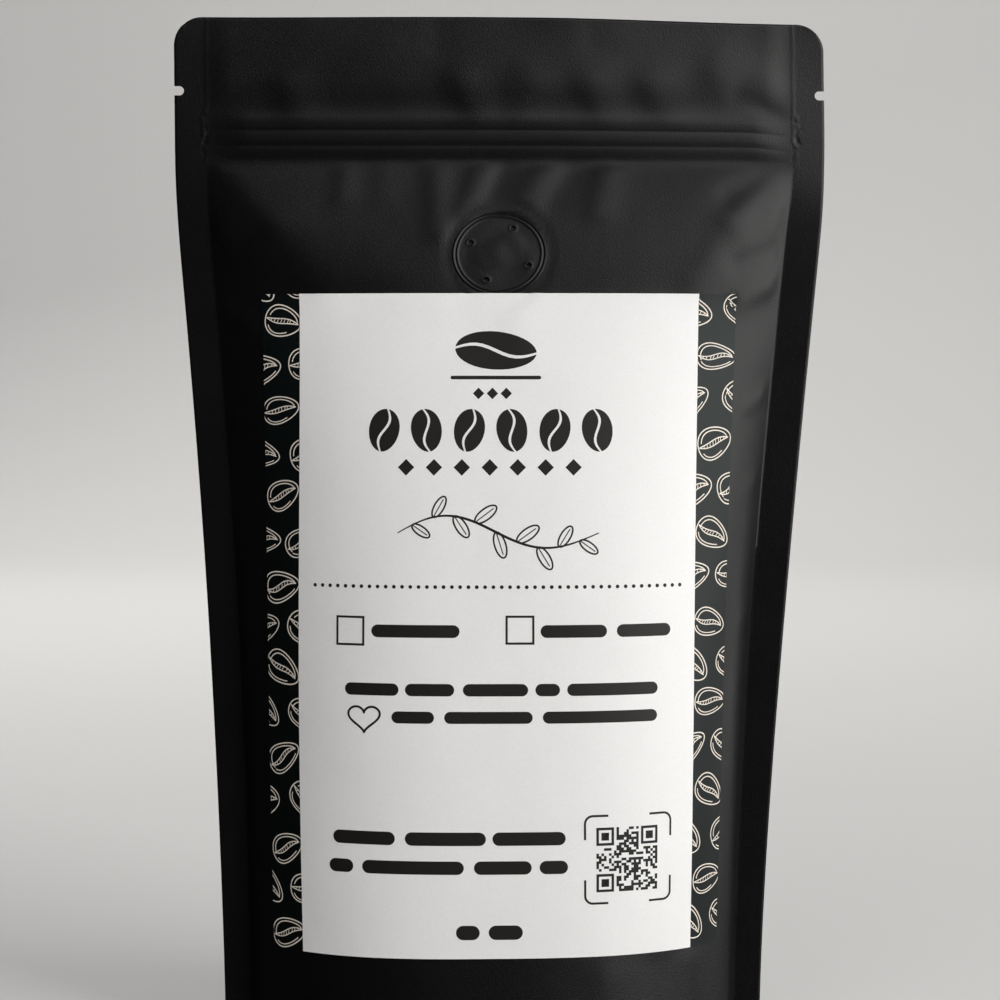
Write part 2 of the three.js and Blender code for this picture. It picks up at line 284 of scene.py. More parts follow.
# Folds of the film as (across, up) of each end, half width and rise, in millimetres
folds = {
    "front": [
        (-10, 237, -5.8, 249, 3.0, 0.42), (5, 237, 12.6, 249, 3.4, 0.38), (27, 236, 30.5, 249, 3.6, 0.4),
        (-34, 241, -33, 249, 3.4, 0.2), (-45, 240, -44.4, 249, 3.0, 0.36), (-17.5, 230, -19, 249, 3.4, 0.46),
        (-3, 240, 1, 249, 2.4, -0.25), (14, 238, 20.5, 249, 3.2, -0.25),
        (-63, 231, -81, 249, 3.4, 0.3), (-50, 214, -63, 231, 5.5, 0.35),
        (66, 233, 83, 250, 4.0, 0.42), (57, 216, 66, 233, 5.5, 0.4), (64.5, 240.5, 83, 248.5, 3.3, -0.44),
        (77, 236, 81, 237.5, 1.6, 0.3), (76, 232, 80, 233.5, 1.6, 0.25), (68, 221, 80, 225, 3.2, -0.65),
        (70, 211.5, 83, 216, 3.0, 0.8), (68, 200, 80, 210, 4.0, -0.3), (75, 180, 81.5, 184, 2.6, 0.6),
        (74, 177.5, 80.5, 181, 1.8, -0.3), (75, 157, 80, 159.5, 2.0, 0.35), (76, 120, 81, 122, 2.4, 0.3),
        (-77, 226, -81, 231, 2.2, 0.4), (-73, 203, -81, 208, 2.4, 0.5), (-75, 172, -81, 176, 2.4, 0.4),
        (-75, 130, -81, 134, 2.6, 0.35), (6, 197, 6, 214, 5.0, 0.35), (-9, 200, -9, 214, 5.0, -0.2),
        (58, 8, 57.5, 24, 4.0, 0.4), (45, 8, 45, 25, 4.0, -0.3), (30, 6, 31, 22, 5.0, 0.25),
        (-55, 8, -54, 24, 4.5, 0.35), (-35, 6, -36, 20, 5.0, -0.25),
    ],
    "header": [
        (-58.5, 263, -60.5, 271, 4.4, 0.52), (-7, 263, -12, 272, 4.2, 0.44),
        (5.5, 263, 8, 272, 5.0, 0.33), (29, 263, 25, 272, 4.8, 0.38), (47, 263, 42.5, 272, 5.0, 0.38),
        (82, 267, 62, 276, 5.4, 0.42), (83, 263, 68, 270, 3.6, -0.42), (26, 284, 26, 289, 4.0, -0.12),
        (-18, 282, -18, 289, 3.5, -0.12), (-28, 263, -29, 270, 4.4, 0.14), (78, 274, 79, 288, 6.0, 0.3),
    ],
    "back": [
        (-60, 231, -81, 249, 3.6, 0.5), (60, 231, 81, 249, 3.6, 0.5), (-46, 212, -60, 231, 5.0, 0.4),
        (46, 212, 60, 231, 5.0, 0.4), (-20, 236, -23, 249, 3.2, 0.4), (8, 234, 6, 249, 3.4, 0.4),
        (33, 237, 36, 249, 3.2, 0.35), (-6, 236, -8, 249, 3.0, -0.3), (21, 238, 22, 249, 3.0, -0.3),
        (72, 205, 82, 210, 2.4, 0.5), (74, 168, 81, 172, 2.4, 0.4), (75, 120, 81, 123, 2.6, 0.35),
        (-72, 212, -82, 217, 2.4, 0.5), (-74, 178, -81, 182, 2.4, 0.4), (-75, 138, -81, 141, 2.6, 0.35),
        (-50, 6, -50, 24, 5.0, 0.35), (20, 6, 20, 20, 6.0, -0.25), (48, 6, 49, 22, 5.0, 0.35),
    ],
}
foldSizes = ("footAcross", "footUp", "tipAcross", "tipUp", "half", "rise")

# The press-to-close strip under the film, as heights on the bag and how far the film stands off there
strip = {"low": 248.0, "high": 267.0, "sharp": (254.2, 258.65), "points": [
    (248.0, 0.0), (249.3, 0.01), (250.5, 0.06), (251.4, 0.18), (252.4, 0.34), (253.4, 0.45), (253.95, 0.46),
    (254.2, 0.38), (254.7, 0.49), (255.4, 0.63), (256.2, 0.73), (257.0, 0.755), (258.0, 0.70), (258.4, 0.66),
    (258.65, 0.56), (259.2, 0.70), (260.0, 0.80), (260.9, 0.84), (261.9, 0.76), (262.9, 0.57), (263.8, 0.37),
    (264.8, 0.19), (266.0, 0.06), (267.0, 0.0)]}

# Where the seals crush the strip's ends: a height, and a distance out from the seam
crush = {"up": 258, "upHalf": 7, "out": 0.8, "outHalf": 1.1, "rise": 0.9}

# Heights on the bag between which its shape changes
zones = {
    "footSeal": (0, 170), "footTwist": (0, 150), "footShift": (0, 250), "wideSeal": (20, 150),
    "stiffer": (208, 250), "headerTwist": (215, 290), "waist": (215, 270), "wideSealEnd": (228, 248),
    "finEnd": (232, 250), "header": (235, 290), "bodyEnd": (246, 251.5), "seamLine": (252, 264),
    "headerFolds": (256, 268), "sway": (256, 285), "pillow": (262, 273), "pillowEnd": (270, 291)}


def buildFold():
    tree, given, result = newTree("filmFold", {
        "across": 0.0, "up": 0.0, "footAcross": 0.0, "footUp": 0.0, "tipAcross": 0.0, "tipUp": 1.0,
        "half": 3.0, "rise": 1.0, "skew": 0.5}, {"height": 0.0})
    runX = given["tipAcross"] - given["footAcross"]
    runZ = given["tipUp"] - given["footUp"]
    length = (runX ** 2 + runZ ** 2).root()
    x = given["across"] - given["footAcross"]
    z = given["up"] - given["footUp"]
    along = (x * runX + z * runZ) / length
    off = (x * runZ - z * runX) / length
    beyond = (-along).max(along - length).max(0)
    # the right flank is gentler than the left one
    flank = given["half"] * (1 + given["skew"] * off.sign().max(0))
    height = given["rise"] * (off / flank).bell() * (beyond / given["half"]).bell()
    connect(tree, height, result["height"])
    return tree


def buildFolds(name, listed, foldTree):
    tree, given, result = newTree(name, {"across": 0.0, "up": 0.0}, {"height": 0.0})
    total = 0.0
    for fold in listed:
        total = useTree(tree, foldTree, {**given, **dict(zip(foldSizes, fold))})["height"] + total
    connect(tree, total, result["height"])
    return tree


# How far a film whose slope grows from its middle to the seal has run and fallen at a share of its length
def buildFilmArc():
    tree, given, result = newTree("filmArc", {"share": 1.0, "slope": 0.5, "flatness": 1.8},
                                  {"run": 1.0, "fall": 1.0})
    share, slope, m = given["share"], given["slope"], given["flatness"]
    run = share - slope ** 2 * share ** (2 * m + 1) / (2 * (2 * m + 1)) \
        + slope ** 4 * share ** (4 * m + 1) / (24 * (4 * m + 1))
    fall = slope * share ** (m + 1) / (m + 1) - slope ** 3 * share ** (3 * m + 1) / (6 * (3 * m + 1)) \
        + slope ** 5 * share ** (5 * m + 1) / (120 * (5 * m + 1))
    connect(tree, run, result["run"])
    connect(tree, fall, result["fall"])
    return tree


# The film rule: a point of the bag from its share across (-1 and 1 are the seals, 2 the outer edge),
# its height and whether it is on the front (1) or the back (-1)
def buildFilmRule():
    tree, given, result = newTree("filmRule", {
        "share": 0.0, "up": 0.0, "facing": 1.0, "recess": 0.0, **film}, {"point": Vector()})
    share, up, facing = given["share"], given["up"], given["facing"]

    def rising(zone):
        return up.ease(*zones[zone])

    def falling(zone, last=0):
        return up.ease(*zones[zone], 1, last)
    half = given["bagWidth"] / 2
    sealWidth = given["sealWidth"]
    panel = half - sealWidth
    inPanel = share.abs().min(1)
    inSeal = (share.abs() - 1).max(0)
    inRightSeal, inLeftSeal = (share - 1).max(0), (-1 - share).max(0)

    # the outline: sides that widen up to the waist, round top corners and seals that narrow to the foot
    taperPower, taperBlend = 1.5, 0.16
    climb = ((up / given["taperTop"]) ** taperPower).calc("SMOOTH_MIN", 1.0, taperBlend)
    side = given["footHalfWidth"] + (half - given["footHalfWidth"]) * climb
    corner = given["cornerRadius"]
    above = (up - (given["bagHeight"] - corner)).max(0)
    edge = side - corner + (corner ** 2 - above ** 2).max(0).root()
    seam = side - given["footSealWidth"] - (sealWidth - given["footSealWidth"]) * rising("footSeal")

    # how far the films part at this height, and the arc that each makes from seal to seal
    mouthPower, mouthEase, steepening = 2.6, 0.85, 0.7
    full = given["footHalfDepth"] + given["fullerBack"] * (1 - facing) / 2
    parted = full * (1 - (up / given["mouthHeight"]) ** mouthPower).max(0) ** mouthEase
    depth = (parted ** 2 + given["mouthBend"] ** 2).root() - given["mouthBend"]
    fullness = depth / panel
    flatness = up.ease(*zones["stiffer"], given["panelFlatness"], given["mouthFlatness"])
    slope = (flatness + 1) * fullness * (1 + steepening * fullness ** 2)
    arcTree = buildFilmArc()
    here, whole = [useTree(tree, arcTree, {"share": part, "slope": slope, "flatness": flatness})
                   for part in (inPanel, 1.0)]
    puff = 1 - here["fall"] / whole["fall"]
    x = share.sign() * (seam * here["run"] / whole["run"] + inSeal * (edge - seam))
    # below the strip the right seal is a little wider, and both turn to the left
    leftSwing = 0.6
    rightMore = given["rightSealMore"] * rising("wideSeal") * falling("wideSealEnd")
    x = x - rightMore * (share.ease(0.84, 1.0) - inRightSeal)
    swing = given["finSwing"] * (inRightSeal - leftSwing * inLeftSeal) * falling("finEnd")

    # folds, with a groove round the valve on the front and room for it under the film
    across = share.sign() * (inPanel * panel + inSeal * sealWidth)
    foldTree = buildFold()
    place = {"across": across, "up": up}
    front, header, back = [useTree(tree, buildFolds(side + "Folds", folds[side], foldTree), place)["height"]
                           for side in ("front", "header", "back")]
    fromValve = (across ** 2 + (up - valve["up"]) ** 2).root()
    radius, groove = valve["radius"], valve["groove"]
    front = front * fromValve.ease(radius, radius + 4)
    front = front - groove["depth"] * ((fromValve - radius - groove["out"]) / groove["half"]).bell()
    onFront = facing.max(0)
    relief = front * onFront + back * (1 - onFront)
    relief = relief * (falling("bodyEnd") * inPanel.ease(0.95, 1, 1, 0))
    relief = relief - given["recess"] * onFront * fromValve.ease(radius - 4, radius - 1.5, 1, 0)

    # the strip droops at its right end and is crushed flat in the seals
    stripUp = up + given["stripDroop"] * share.ease(0.83, 1.0)
    fromSeam = across.abs() - panel
    relief = relief + given["stripRise"] * profile(tree, stripUp, strip) * fromSeam.ease(-12, 0.8, 1, 0)
    crumple = noise(tree, vector(tree, across * 0.8, up * 0.35, facing), 1.0, 2.0) - 0.5
    crumple = crumple * crush["rise"] * ((fromSeam - crush["out"]) / crush["outHalf"]).bell() \
        * ((up - crush["up"]) / crush["upHalf"]).bell()
    # the header is a low pillow between the seals, whose right side starts to fall earlier
    pillowEdge = panel * share.ease(-0.1, 0.1, 0.92, 0.8)
    pillow = across.abs().ease(pillowEdge, panel * 1.02, 1, 0) * rising("pillow") * falling("pillowEnd", 0.3)
    seamLine = (fromSeam / 0.4).bell() * 0.06 * rising("seamLine")
    waves = noise(tree, vector(tree, across * 0.03, up * 0.022, facing * 7), 1.0, 2.0) - 0.5
    waves = waves * given["waviness"] * 2 * (puff * depth).ease(0, 8)
    relief = relief + given["pillow"] * pillow + crumple + waves + seamLine

    # both films together: the gauge thins out at the very edge, and the header sways and has folds of its own
    thin = inSeal.ease(0.972, 1, 1, 0) * (given["bagHeight"] - up).ease(0, 0.5)
    sway = (noise(tree, vector(tree, across * 0.02, up * 0.03, 3), 1.0, 1.0) - 0.5) * 1.2 * rising("sway")
    sway = sway - header * rising("headerFolds") * inPanel.ease(0.9, 1, 1, 0)
    y = sway - swing - facing * (given["halfGauge"] + relief) * thin - facing * depth * puff

    # the bag leans and twists a little from foot to header, whose right half bends back and droops
    lean = given["footShift"] * falling("footShift") + given["waistShift"] * falling("waist")
    twist = given["footTwist"] * falling("footTwist") + given["headerTwist"] * rising("headerTwist")
    twist = twist * math.radians(1)
    curl = given["headerCurl"] * x.ease(10, 92) * rising("header")
    drop = given["leftDrop"] * x.ease(-80, -5, 1, 0) + given["rightDrop"] * x.ease(5, 90)
    turnedX = x * twist.cos() - y * twist.sin() + lean
    turnedY = x * twist.sin() + y * twist.cos() + curl
    turnedZ = up - drop * rising("header")
    connect(tree, vector(tree, turnedX * mm, turnedY * mm, turnedZ * mm), result["point"])
    return tree


filmRule = buildFilmRule()
print("film rule ready")


def filmSizes(given):
    return {key: given[key] for key in film}


def filmPoint(tree, given, share, up, facing, recess=0.0):
    point = useTree(tree, filmRule, {"share": share, "up": up, "facing": facing, "recess": recess,
                                     **filmSizes(given)})
    return point["point"]


# The whole bag: a front and a back sheet on the film rule, welded round their edges and along the gusset
pouch = {"columns": 165, "rows": 264, "gussetRows": 12.0, "bodyRows": 152.0, "stripRows": 72.0,
         "gussetRise": 5.0, "notchUp": 269.9, "notchDepth": 2.7, "notchHeight": 2.6}


def buildPouch():
    tree, given, result = pieceTree("pouchFilm", pouch)
    grid = geo(tree, "MeshGrid", {"Size X": 2.0, "Size Y": 1.0, "Vertices X": given["columns"],
                                  "Vertices Y": given["rows"]})
    x, y, _ = parts(tree, geo(tree, "InputPosition"))
    linear = "LINEAR"
    # columns: even over the panel, closer at the seal's inner edge
    evenHalf, closerHalf = 79, 7
    panel = given["bagWidth"] / 2 - given["sealWidth"]
    e = x.abs()
    outerPart = 1 - (1 - e.ease(0.92, 1, 0, 1, linear)) ** 1.7
    reach = e.ease(0, 0.72, 0, evenHalf, linear) + e.ease(0.72, 0.92, 0, closerHalf, linear) \
        + (given["bagWidth"] / 2 - (evenHalf + closerHalf)) * outerPart
    share = x.sign() * ((reach / panel).min(1) + ((reach - panel) / given["sealWidth"]).max(0))
    # rows: the gusset, the body, the strip and the header, closer towards the rounded corners
    stripFoot, stripHeight = 246, 21
    row = (y + 0.5) * (given["rows"] - 1)
    a = given["gussetRows"]
    b = a + given["bodyRows"]
    c = b + given["stripRows"]
    headerPart = 1 - (1 - row.ease(c, given["rows"] - 1, 0, 1, linear)) ** 1.8
    up = row.ease(a, b, 0, stripFoot, linear) + row.ease(b, c, 0, stripHeight, linear) \
        + (given["bagHeight"] - (stripFoot + stripHeight)) * headerPart
    # the rows inside the foot run from each film's edge to the gusset's middle crease
    inward = row.ease(0, a, 1, 0, linear)
    inside = share.abs().ease(0.9, 0.99, 1, 0)
    lift = inward.ease(0.06, 0.25, 0, 1) * inward.ease(0.25, 0.62, 1, 0.06) + inward.ease(0.8, 1, 0, 0.25)
    lift = lift * inside * given["gussetRise"] * mm
    points = [parts(tree, filmPoint(tree, given, share, up, facing, valve["recess"]))
              for facing in (1.0, -1.0)]
    middle = [(front + back) / 2 for front, back in zip(*points)]
    front, back = [geo(tree, "SetPosition", {"Geometry": grid, "Position": vector(
        tree, px + (middle[0] - px) * inward, py + (middle[1] - py) * inward, pz + lift)})
        for px, py, pz in points]
    joined = join(tree, [front, geo(tree, "FlipFaces", {0: back})])
    welded = geo(tree, "MergeByDistance", {0: joined, "Distance": 0.004 * mm})
    # the tear notches: a slot with a round end from each side
    cut = addNode(tree, "GeometryNodeMeshBoolean", {0: welded}, operation="DIFFERENCE", solver="MANIFOLD")
    half = given["notchHeight"] / 2
    slotLength = 6
    for side in (-1.0, 1.0):
        tx, ty, tz = parts(tree, filmPoint(tree, given, 2.0 * side, given["notchUp"], 1.0))
        roundEnd = geo(tree, "MeshCylinder", {"Vertices": 20, "Radius": half * mm, "Depth": 0.03})
        slot = geo(tree, "MeshCube", {
            "Size": vector(tree, slotLength * mm, given["notchHeight"] * mm, 0.031)})
        for tool, outward in ((roundEnd, 0), (slot, slotLength / 2)):
            reachIn = (given["notchDepth"] - half - outward) * -side
            tool = geo(tree, "Transform", {"Geometry": tool, "Rotation": upright, "Translation": vector(
                tree, tx + reachIn * mm, ty, tz)})
            connect(tree, tool, cut.inputs["Mesh 2"])
    finishMesh(tree, cut.outputs["Mesh"], given["material"], result, 55)
    return tree


pouchPiece = grow("pouchFilm", buildPouch(), {**pouch, "material": filmMaterial})


# Lays a flat drawing on the front: its x is across the film, its z is the height, and it stands off to -y
def buildLay():
    tree, given, result = pieceTree("layOnFilm", {
        "drawing": "mesh", "lift": 0.0, "middleUp": 0.0, "upScale": 1.0})
    x, y, z = parts(tree, geo(tree, "InputPosition"))
    share = x / (given["bagWidth"] / 2 - given["sealWidth"])
    up = given["middleUp"] + z * given["upScale"]
    stepAcross, stepUp = 0.012, 1.0
    point = filmPoint(tree, given, share, up, 1.0)
    right = vectorMath(tree, "SUBTRACT", filmPoint(tree, given, share + stepAcross, up, 1.0), point)
    higher = vectorMath(tree, "SUBTRACT", filmPoint(tree, given, share, up + stepUp, 1.0), point)
    out = vectorMath(tree, "NORMALIZE", vectorMath(tree, "CROSS_PRODUCT", right, higher))
    away = (given["lift"] - y) * mm
    where = vectorMath(tree, "ADD", point, vectorMath(tree, "MULTIPLY", out, vector(tree, away, away, away)))
    laid = geo(tree, "SetPosition", {"Geometry": given["drawing"], "Position": where})
    finishMesh(tree, laid, given["material"], result)
    return tree


layTree = buildLay()


# Lays the drawing that another tree has made, with that tree's own sizes
def lay(tree, given, drawing, middleUp, result):
    laid = useTree(tree, layTree, {"drawing": drawing, "lift": given["lift"], "middleUp": middleUp,
                                   "material": given["material"], **filmSizes(given)})
    connect(tree, laid["mesh"], result["mesh"])


def meshOf(name, points, faces):
    mesh = bpy.data.meshes.new(name)
    mesh.from_pydata(points, [], faces)
    mesh.update()
    return mesh


# The label: two sheets with even thickness
label = {"foot": 28.5, "top": 212.4, "thickness": 0.16, "columns": 84, "rows": 120}
backLayer = {"halfWidth": 68.5, "lift": 0.10}
faceLayer = {"halfWidth": 57.0, "lift": 0.28}


def buildSheet():
    tree, given, result = pieceTree("labelSheet", {**label, **backLayer})
    height = given["top"] - given["foot"]
    box = geo(tree, "MeshCube", {
        "Size": vector(tree, given["halfWidth"] * 2, given["thickness"], height),
        "Vertices X": given["columns"], "Vertices Y": 2, "Vertices Z": given["rows"]})
    box = geo(tree, "Transform", {
        "Geometry": box, "Translation": vector(tree, 0.0, given["thickness"] / -2, height / 2)})
    lay(tree, given, box, given["foot"], result)
    return tree


sheetTree = buildSheet()
backSheet = grow("labelBacking", sheetTree, {**label, **backLayer, "material": slateMaterial})
faceSheet = grow("labelFace", sheetTree, {**label, **faceLayer, "material": paperMaterial})


# The valve: a turned disc with two thin raised rings, drawn flat and laid on the film
def valveDrawing():
    rings, spokes, backDepth = 80, 200, 0.6
    radius = valve["radius"]
    turns = [2 * math.pi * j / spokes for j in range(spokes)]
    holes = [math.radians(valve["pinholeTurn"] + 90 * k) for k in range(4)]

    def bell(off, half):
        return math.exp(-(off / half) ** 2)

    def rise(r, a):
        x, z = r * math.cos(a), r * math.sin(a)
        height = valve["rise"] + sum(high * bell(r - at, half) for at, half, high in valve["rings"])
        height *= min(1, max(0, (radius - r) / valve["edge"]))
        # a low dome, and soft waves round it
        height += 0.42 * bell(x + 1, 4.6) * bell(z, 5.2)
        height += 0.16 * math.sin(2 * a + 0.6) * bell(r - 6, 2.4)
        height += 0.09 * math.sin(3 * a + 2.1) * bell(r - 9, 1.8)
        # the ring lies under the label's top edge
        height *= min(1, max(0, (valve["up"] + z * valve["slopeStretch"] - label["top"]) / 0.4))
        # each pinhole has a low lip
        for hole in holes:
            d = math.hypot(x - valve["pinholeCircle"] * math.cos(hole),
                           z - valve["pinholeCircle"] * math.sin(hole))
            height += 0.12 * bell(d - 0.95, 0.4) - 1.3 * math.exp(-(d / 0.55) ** 4)
        return height
    points = [(0, -rise(0, 0), 0)]
    for k in range(1, rings + 1):
        r = radius * (k / rings) ** 0.85
        points += [(r * math.cos(a), -rise(r, a), r * math.sin(a)) for a in turns]
    for r, y in ((radius, 0.35), (radius * 0.5, backDepth)):
        points += [(r * math.cos(a), y, r * math.sin(a)) for a in turns]
    points.append((0, backDepth, 0))
    faces = [(0, 1 + j, 1 + (j + 1) % spokes) for j in range(spokes)]
    for k in range(rings + 1):
        low = 1 + k * spokes
        high = low + spokes
        for j in range(spokes):
            after = (j + 1) % spokes
            faces.append((low + j, high + j, high + after, low + after))
    last = 1 + (rings + 1) * spokes
    faces += [(len(points) - 1, last + (j + 1) % spokes, last + j) for j in range(spokes)]
    return meshOf("valveDrawing", points, faces)


valvePiece = grow("valveDisc", layTree, {"lift": 0.02, "middleUp": valve["up"], "material": valveMaterial,
                                         "upScale": valve["slopeStretch"]}, valveDrawing())
print("bag, valve and label sheets ready")


# Drawings in print: strips of quads in the plane of the label
class Drawing:
    def __init__(self):
        self.points = []
        self.faces = []

    def stroke(self, path, width, closed=False):
        count = len(path)
        start = len(self.points)
        for k, (x, z) in enumerate(path):
            before = path[k - 1] if closed or k else path[k]
            after = path[(k + 1) % count] if closed or k < count - 1 else path[k]
            run = math.hypot(after[0] - before[0], after[1] - before[1]) or 1
            nx, nz = (before[1] - after[1]) / run, (after[0] - before[0]) / run
            half = (width(k / (count - 1)) if callable(width) else width) / 2
            self.points += [(x + nx * half, 0, z + nz * half), (x - nx * half, 0, z - nz * half)]
        for k in range(count if closed else count - 1):
            a, b = start + 2 * k, start + 2 * ((k + 1) % count)
            self.faces.append((a, a + 1, b + 1, b))

    def bar(self, left, right, middle, height):
        steps = max(6, round((right - left) / 1.2))
        cap = height / 2
        capSpots = [cap * (1 - math.cos(math.pi / 2 * k / 5)) for k in range(5)]
        spots = [left + s for s in capSpots]
        spots += [left + cap + (right - left - height) * k / steps for k in range(steps + 1)]
        spots += [right - s for s in reversed(capSpots)]

        def width(share):
            x = spots[round(share * (len(spots) - 1))]
            inset = max(0, left + cap - x, x - right + cap)
            return 2 * math.sqrt(max(0.0004, cap ** 2 - inset ** 2))
        self.stroke([(x, middle) for x in spots], width)

    # Four straight strokes round a square, each run out to the corner's outer edge
    def square(self, cx, cz, half, line, steps):
        reach = [(2 * half + line) * k / steps - line / 2 for k in range(steps + 1)]
        for dx, dz in ((1, 0), (0, 1), (-1, 0), (0, -1)):
            x, z = cx + half * (dz - dx), cz - half * (dx + dz)
            self.stroke([(x + dx * s, z + dz * s) for s in reach], line)

    def mesh(self, name):
        return meshOf(name, self.points, self.faces)


def turned(points, angle, cx, cz):
    c, s = math.cos(angle), math.sin(angle)
    return [(cx + x * c - z * s, cz + x * s + z * c) for x, z in points]


def ellipse(a, b, count):
    turns = [2 * math.pi * k / count for k in range(count)]
    return [(a * math.cos(t), b * math.sin(t)) for t in turns]


# A solid printed bean: two halves with an S-shaped gap between them
def solidBean(drawing, cx, cz, length, width, angle, gap):
    steps = 18
    start = len(drawing.points)
    for k in range(steps + 1):
        t = math.sin((-1 + 2 * k / steps) * math.pi / 2)
        half = width / 2 * math.sqrt(max(0.002, 1 - t * t)) * (1 + 0.06 * t)
        crease = math.sin(t * math.pi) * width * 0.13
        g = gap / 2 * (1 - 0.35 * t * t)
        left, right = min(crease - g, 0.99 * half), max(crease + g, -0.99 * half)
        row = [(x, t * length / 2) for x in (-half, (left - half) / 2, left, right, (right + half) / 2, half)]
        drawing.points += [(x, 0, z) for x, z in turned(row, angle, cx, cz)]
    for k in range(steps):
        for j in (0, 1, 3, 4):
            a = start + 6 * k + j
            drawing.faces.append((a, a + 1, a + 7, a + 6))


layout = {
    "emblem": {"middle": (-0.8, 196.4), "length": 23.0, "width": 10.6},
    "dish": {"left": -13.5, "right": 12.0, "up": 188.9, "height": 1.0},
    "topRow": {"left": -7.2, "right": 3.8, "up": 184.5, "count": 3, "size": 3.2},
    "title": {"left": -36.4, "right": 32.2, "up": 174.3, "count": 6, "length": 11.9, "width": 8.6},
    "underTitle": {"left": -28.0, "right": 23.5, "up": 164.1, "count": 7, "size": 4.6},
    "sprig": {"left": -27.8, "right": 28.4, "up": 146.0, "rise": 5.2, "leaf": 7.4, "line": 0.6},
    "rule": {"left": -51.7, "right": 52.1, "up": 131.2, "count": 46, "dot": 1.05},
    "boxes": [(-41.0, 118.9, 8.2), (6.4, 119.4, 8.0)],
    "boxLine": 0.62,
    "bars": [
        (119.0, 3.5, [(-34.9, -10.3)]), (119.0, 3.5, [(12.1, 30.6), (33.4, 49.2)]),
        (102.9, 3.4, [(-42.5, -27.2), (-25.4, -11.8), (-9.4, 8.6), (10.6, 17.4), (19.4, 45.3)]),
        (95.3, 3.3, [(-29.2, -17.4), (-14.6, 9.8), (12.6, 45.1)]),
        (61.8, 3.7, [(-46.4, -28.6), (-25.8, -3.4), (-1.6, 18.7)]),
        (53.8, 3.7, [(-47.7, -40.6), (-38.0, -9.6), (-6.8, 9.2), (11.4, 19.3)]),
        (35.8, 4.0, [(-12.0, -5.4), (-2.9, 6.6)]),
    ],
    "heart": {"middle": (-37.0, 94.7), "size": 9.6, "line": 0.62},
    "brackets": {"left": 24.1, "right": 49.4, "low": 43.4, "high": 67.8, "arm": 6.6, "round": 2.2,
                 "line": 0.62},
    "code": {"left": 27.3, "low": 46.5, "size": 18.0, "cells": 25, "fill": 0.52, "seed": 12},
}
printLift = 0.47


def drawInk():
    ink = Drawing()
    emblem = layout["emblem"]
    solidBean(ink, *emblem["middle"], emblem["length"], emblem["width"], math.radians(86), 0.95)
    dish = layout["dish"]
    ink.bar(dish["left"], dish["right"], dish["up"], dish["height"])
    title = layout["title"]
    for k in range(title["count"]):
        step = (title["right"] - title["left"] - title["width"]) / (title["count"] - 1)
        solidBean(ink, title["left"] + title["width"] / 2 + step * k, title["up"], title["length"],
                  title["width"], math.radians(10 if k % 2 else -10), 0.8)
    for row in (layout["topRow"], layout["underTitle"]):
        half = row["size"] / 2
        for k in range(row["count"]):
            x = row["left"] + half + (row["right"] - row["left"] - row["size"]) * k / (row["count"] - 1)
            start = len(ink.points)
            ink.points += [(x - half, 0, row["up"]), (x, 0, row["up"] - half), (x + half, 0, row["up"]),
                           (x, 0, row["up"] + half)]
            ink.faces.append((start, start + 1, start + 2, start + 3))
    sprig = layout["sprig"]
    span = sprig["right"] - sprig["left"]

    def stem(t):
        wave = sprig["rise"] * math.sin(t * 2 * math.pi) * (1 - 0.3 * t)
        return sprig["left"] + span * t, sprig["up"] + wave
    stemPath = [stem(k / 60) for k in range(61)]
    ink.stroke(stemPath, lambda t: sprig["line"] * (0.5 + 0.7 * math.sin(math.pi * t)))
    for k in range(9):
        t = (k + 0.7) / 9.6
        x, z = stem(t)
        lean = math.radians(52 if k % 2 else -52) + 0.35 * math.cos(t * 2 * math.pi)
        size = sprig["leaf"] * (0.72 + 0.28 * math.sin(math.pi * t))
        leaf = [(size / 2 + px, pz) for px, pz in ellipse(size / 2, size * 0.21, 28)]
        ink.stroke(turned(leaf, lean, x, z), sprig["line"] * 0.8, True)
        ink.stroke(turned([(size * s / 8, 0) for s in range(8)], lean, x, z), sprig["line"] * 0.5)
    for cx, cz, size in layout["boxes"]:
        ink.square(cx, cz, (size - layout["boxLine"]) / 2, layout["boxLine"], 6)
    for up, height, bars in layout["bars"]:
        for left, right in bars:
            ink.bar(left, right, up, height)
    heart = layout["heart"]
    path = []
    for k in range(60):
        t = 2 * math.pi * k / 60
        hx = 16 * math.sin(t) ** 3
        hz = 13 * math.cos(t) - 5 * math.cos(2 * t) - 2 * math.cos(3 * t) - math.cos(4 * t)
        path.append((heart["middle"][0] + hx * heart["size"] / 34,
                     heart["middle"][1] + hz * heart["size"] / 39 + 0.4))
    ink.stroke(path, heart["line"], True)
    b = layout["brackets"]
    r, straight = b["round"], (b["arm"] - b["round"]) / 4
    turns = [k * math.pi / 16 for k in range(9)]
    for cx, cz, sx, sz in ((b["left"], b["low"], 1, 1), (b["right"], b["low"], -1, 1),
                           (b["right"], b["high"], -1, -1), (b["left"], b["high"], 1, -1)):
        path = [(cx, cz + sz * (b["arm"] - k * straight)) for k in range(4)]
        path += [(cx + sx * r * (1 - math.cos(t)), cz + sz * r * (1 - math.sin(t))) for t in turns]
        path += [(cx + sx * (r + k * straight), cz) for k in range(1, 5)]
        ink.stroke(path if sx * sz > 0 else path[::-1], b["line"])
    code = layout["code"]
    cell = code["size"] / code["cells"]
    far = code["cells"] - 7
    for column, row in ((0, 0), (0, far), (far, far)):
        cx, cz = code["left"] + (column + 3.5) * cell, code["low"] + (row + 3.5) * cell
        ink.square(cx, cz, 3 * cell, cell, 2)
        ink.square(cx, cz, 0.75 * cell, 1.5 * cell, 2)
    return ink.mesh("inkDrawing")


inkPiece = grow("blackPrint", layTree, {"lift": printLift, "material": inkMaterial}, drawInk())


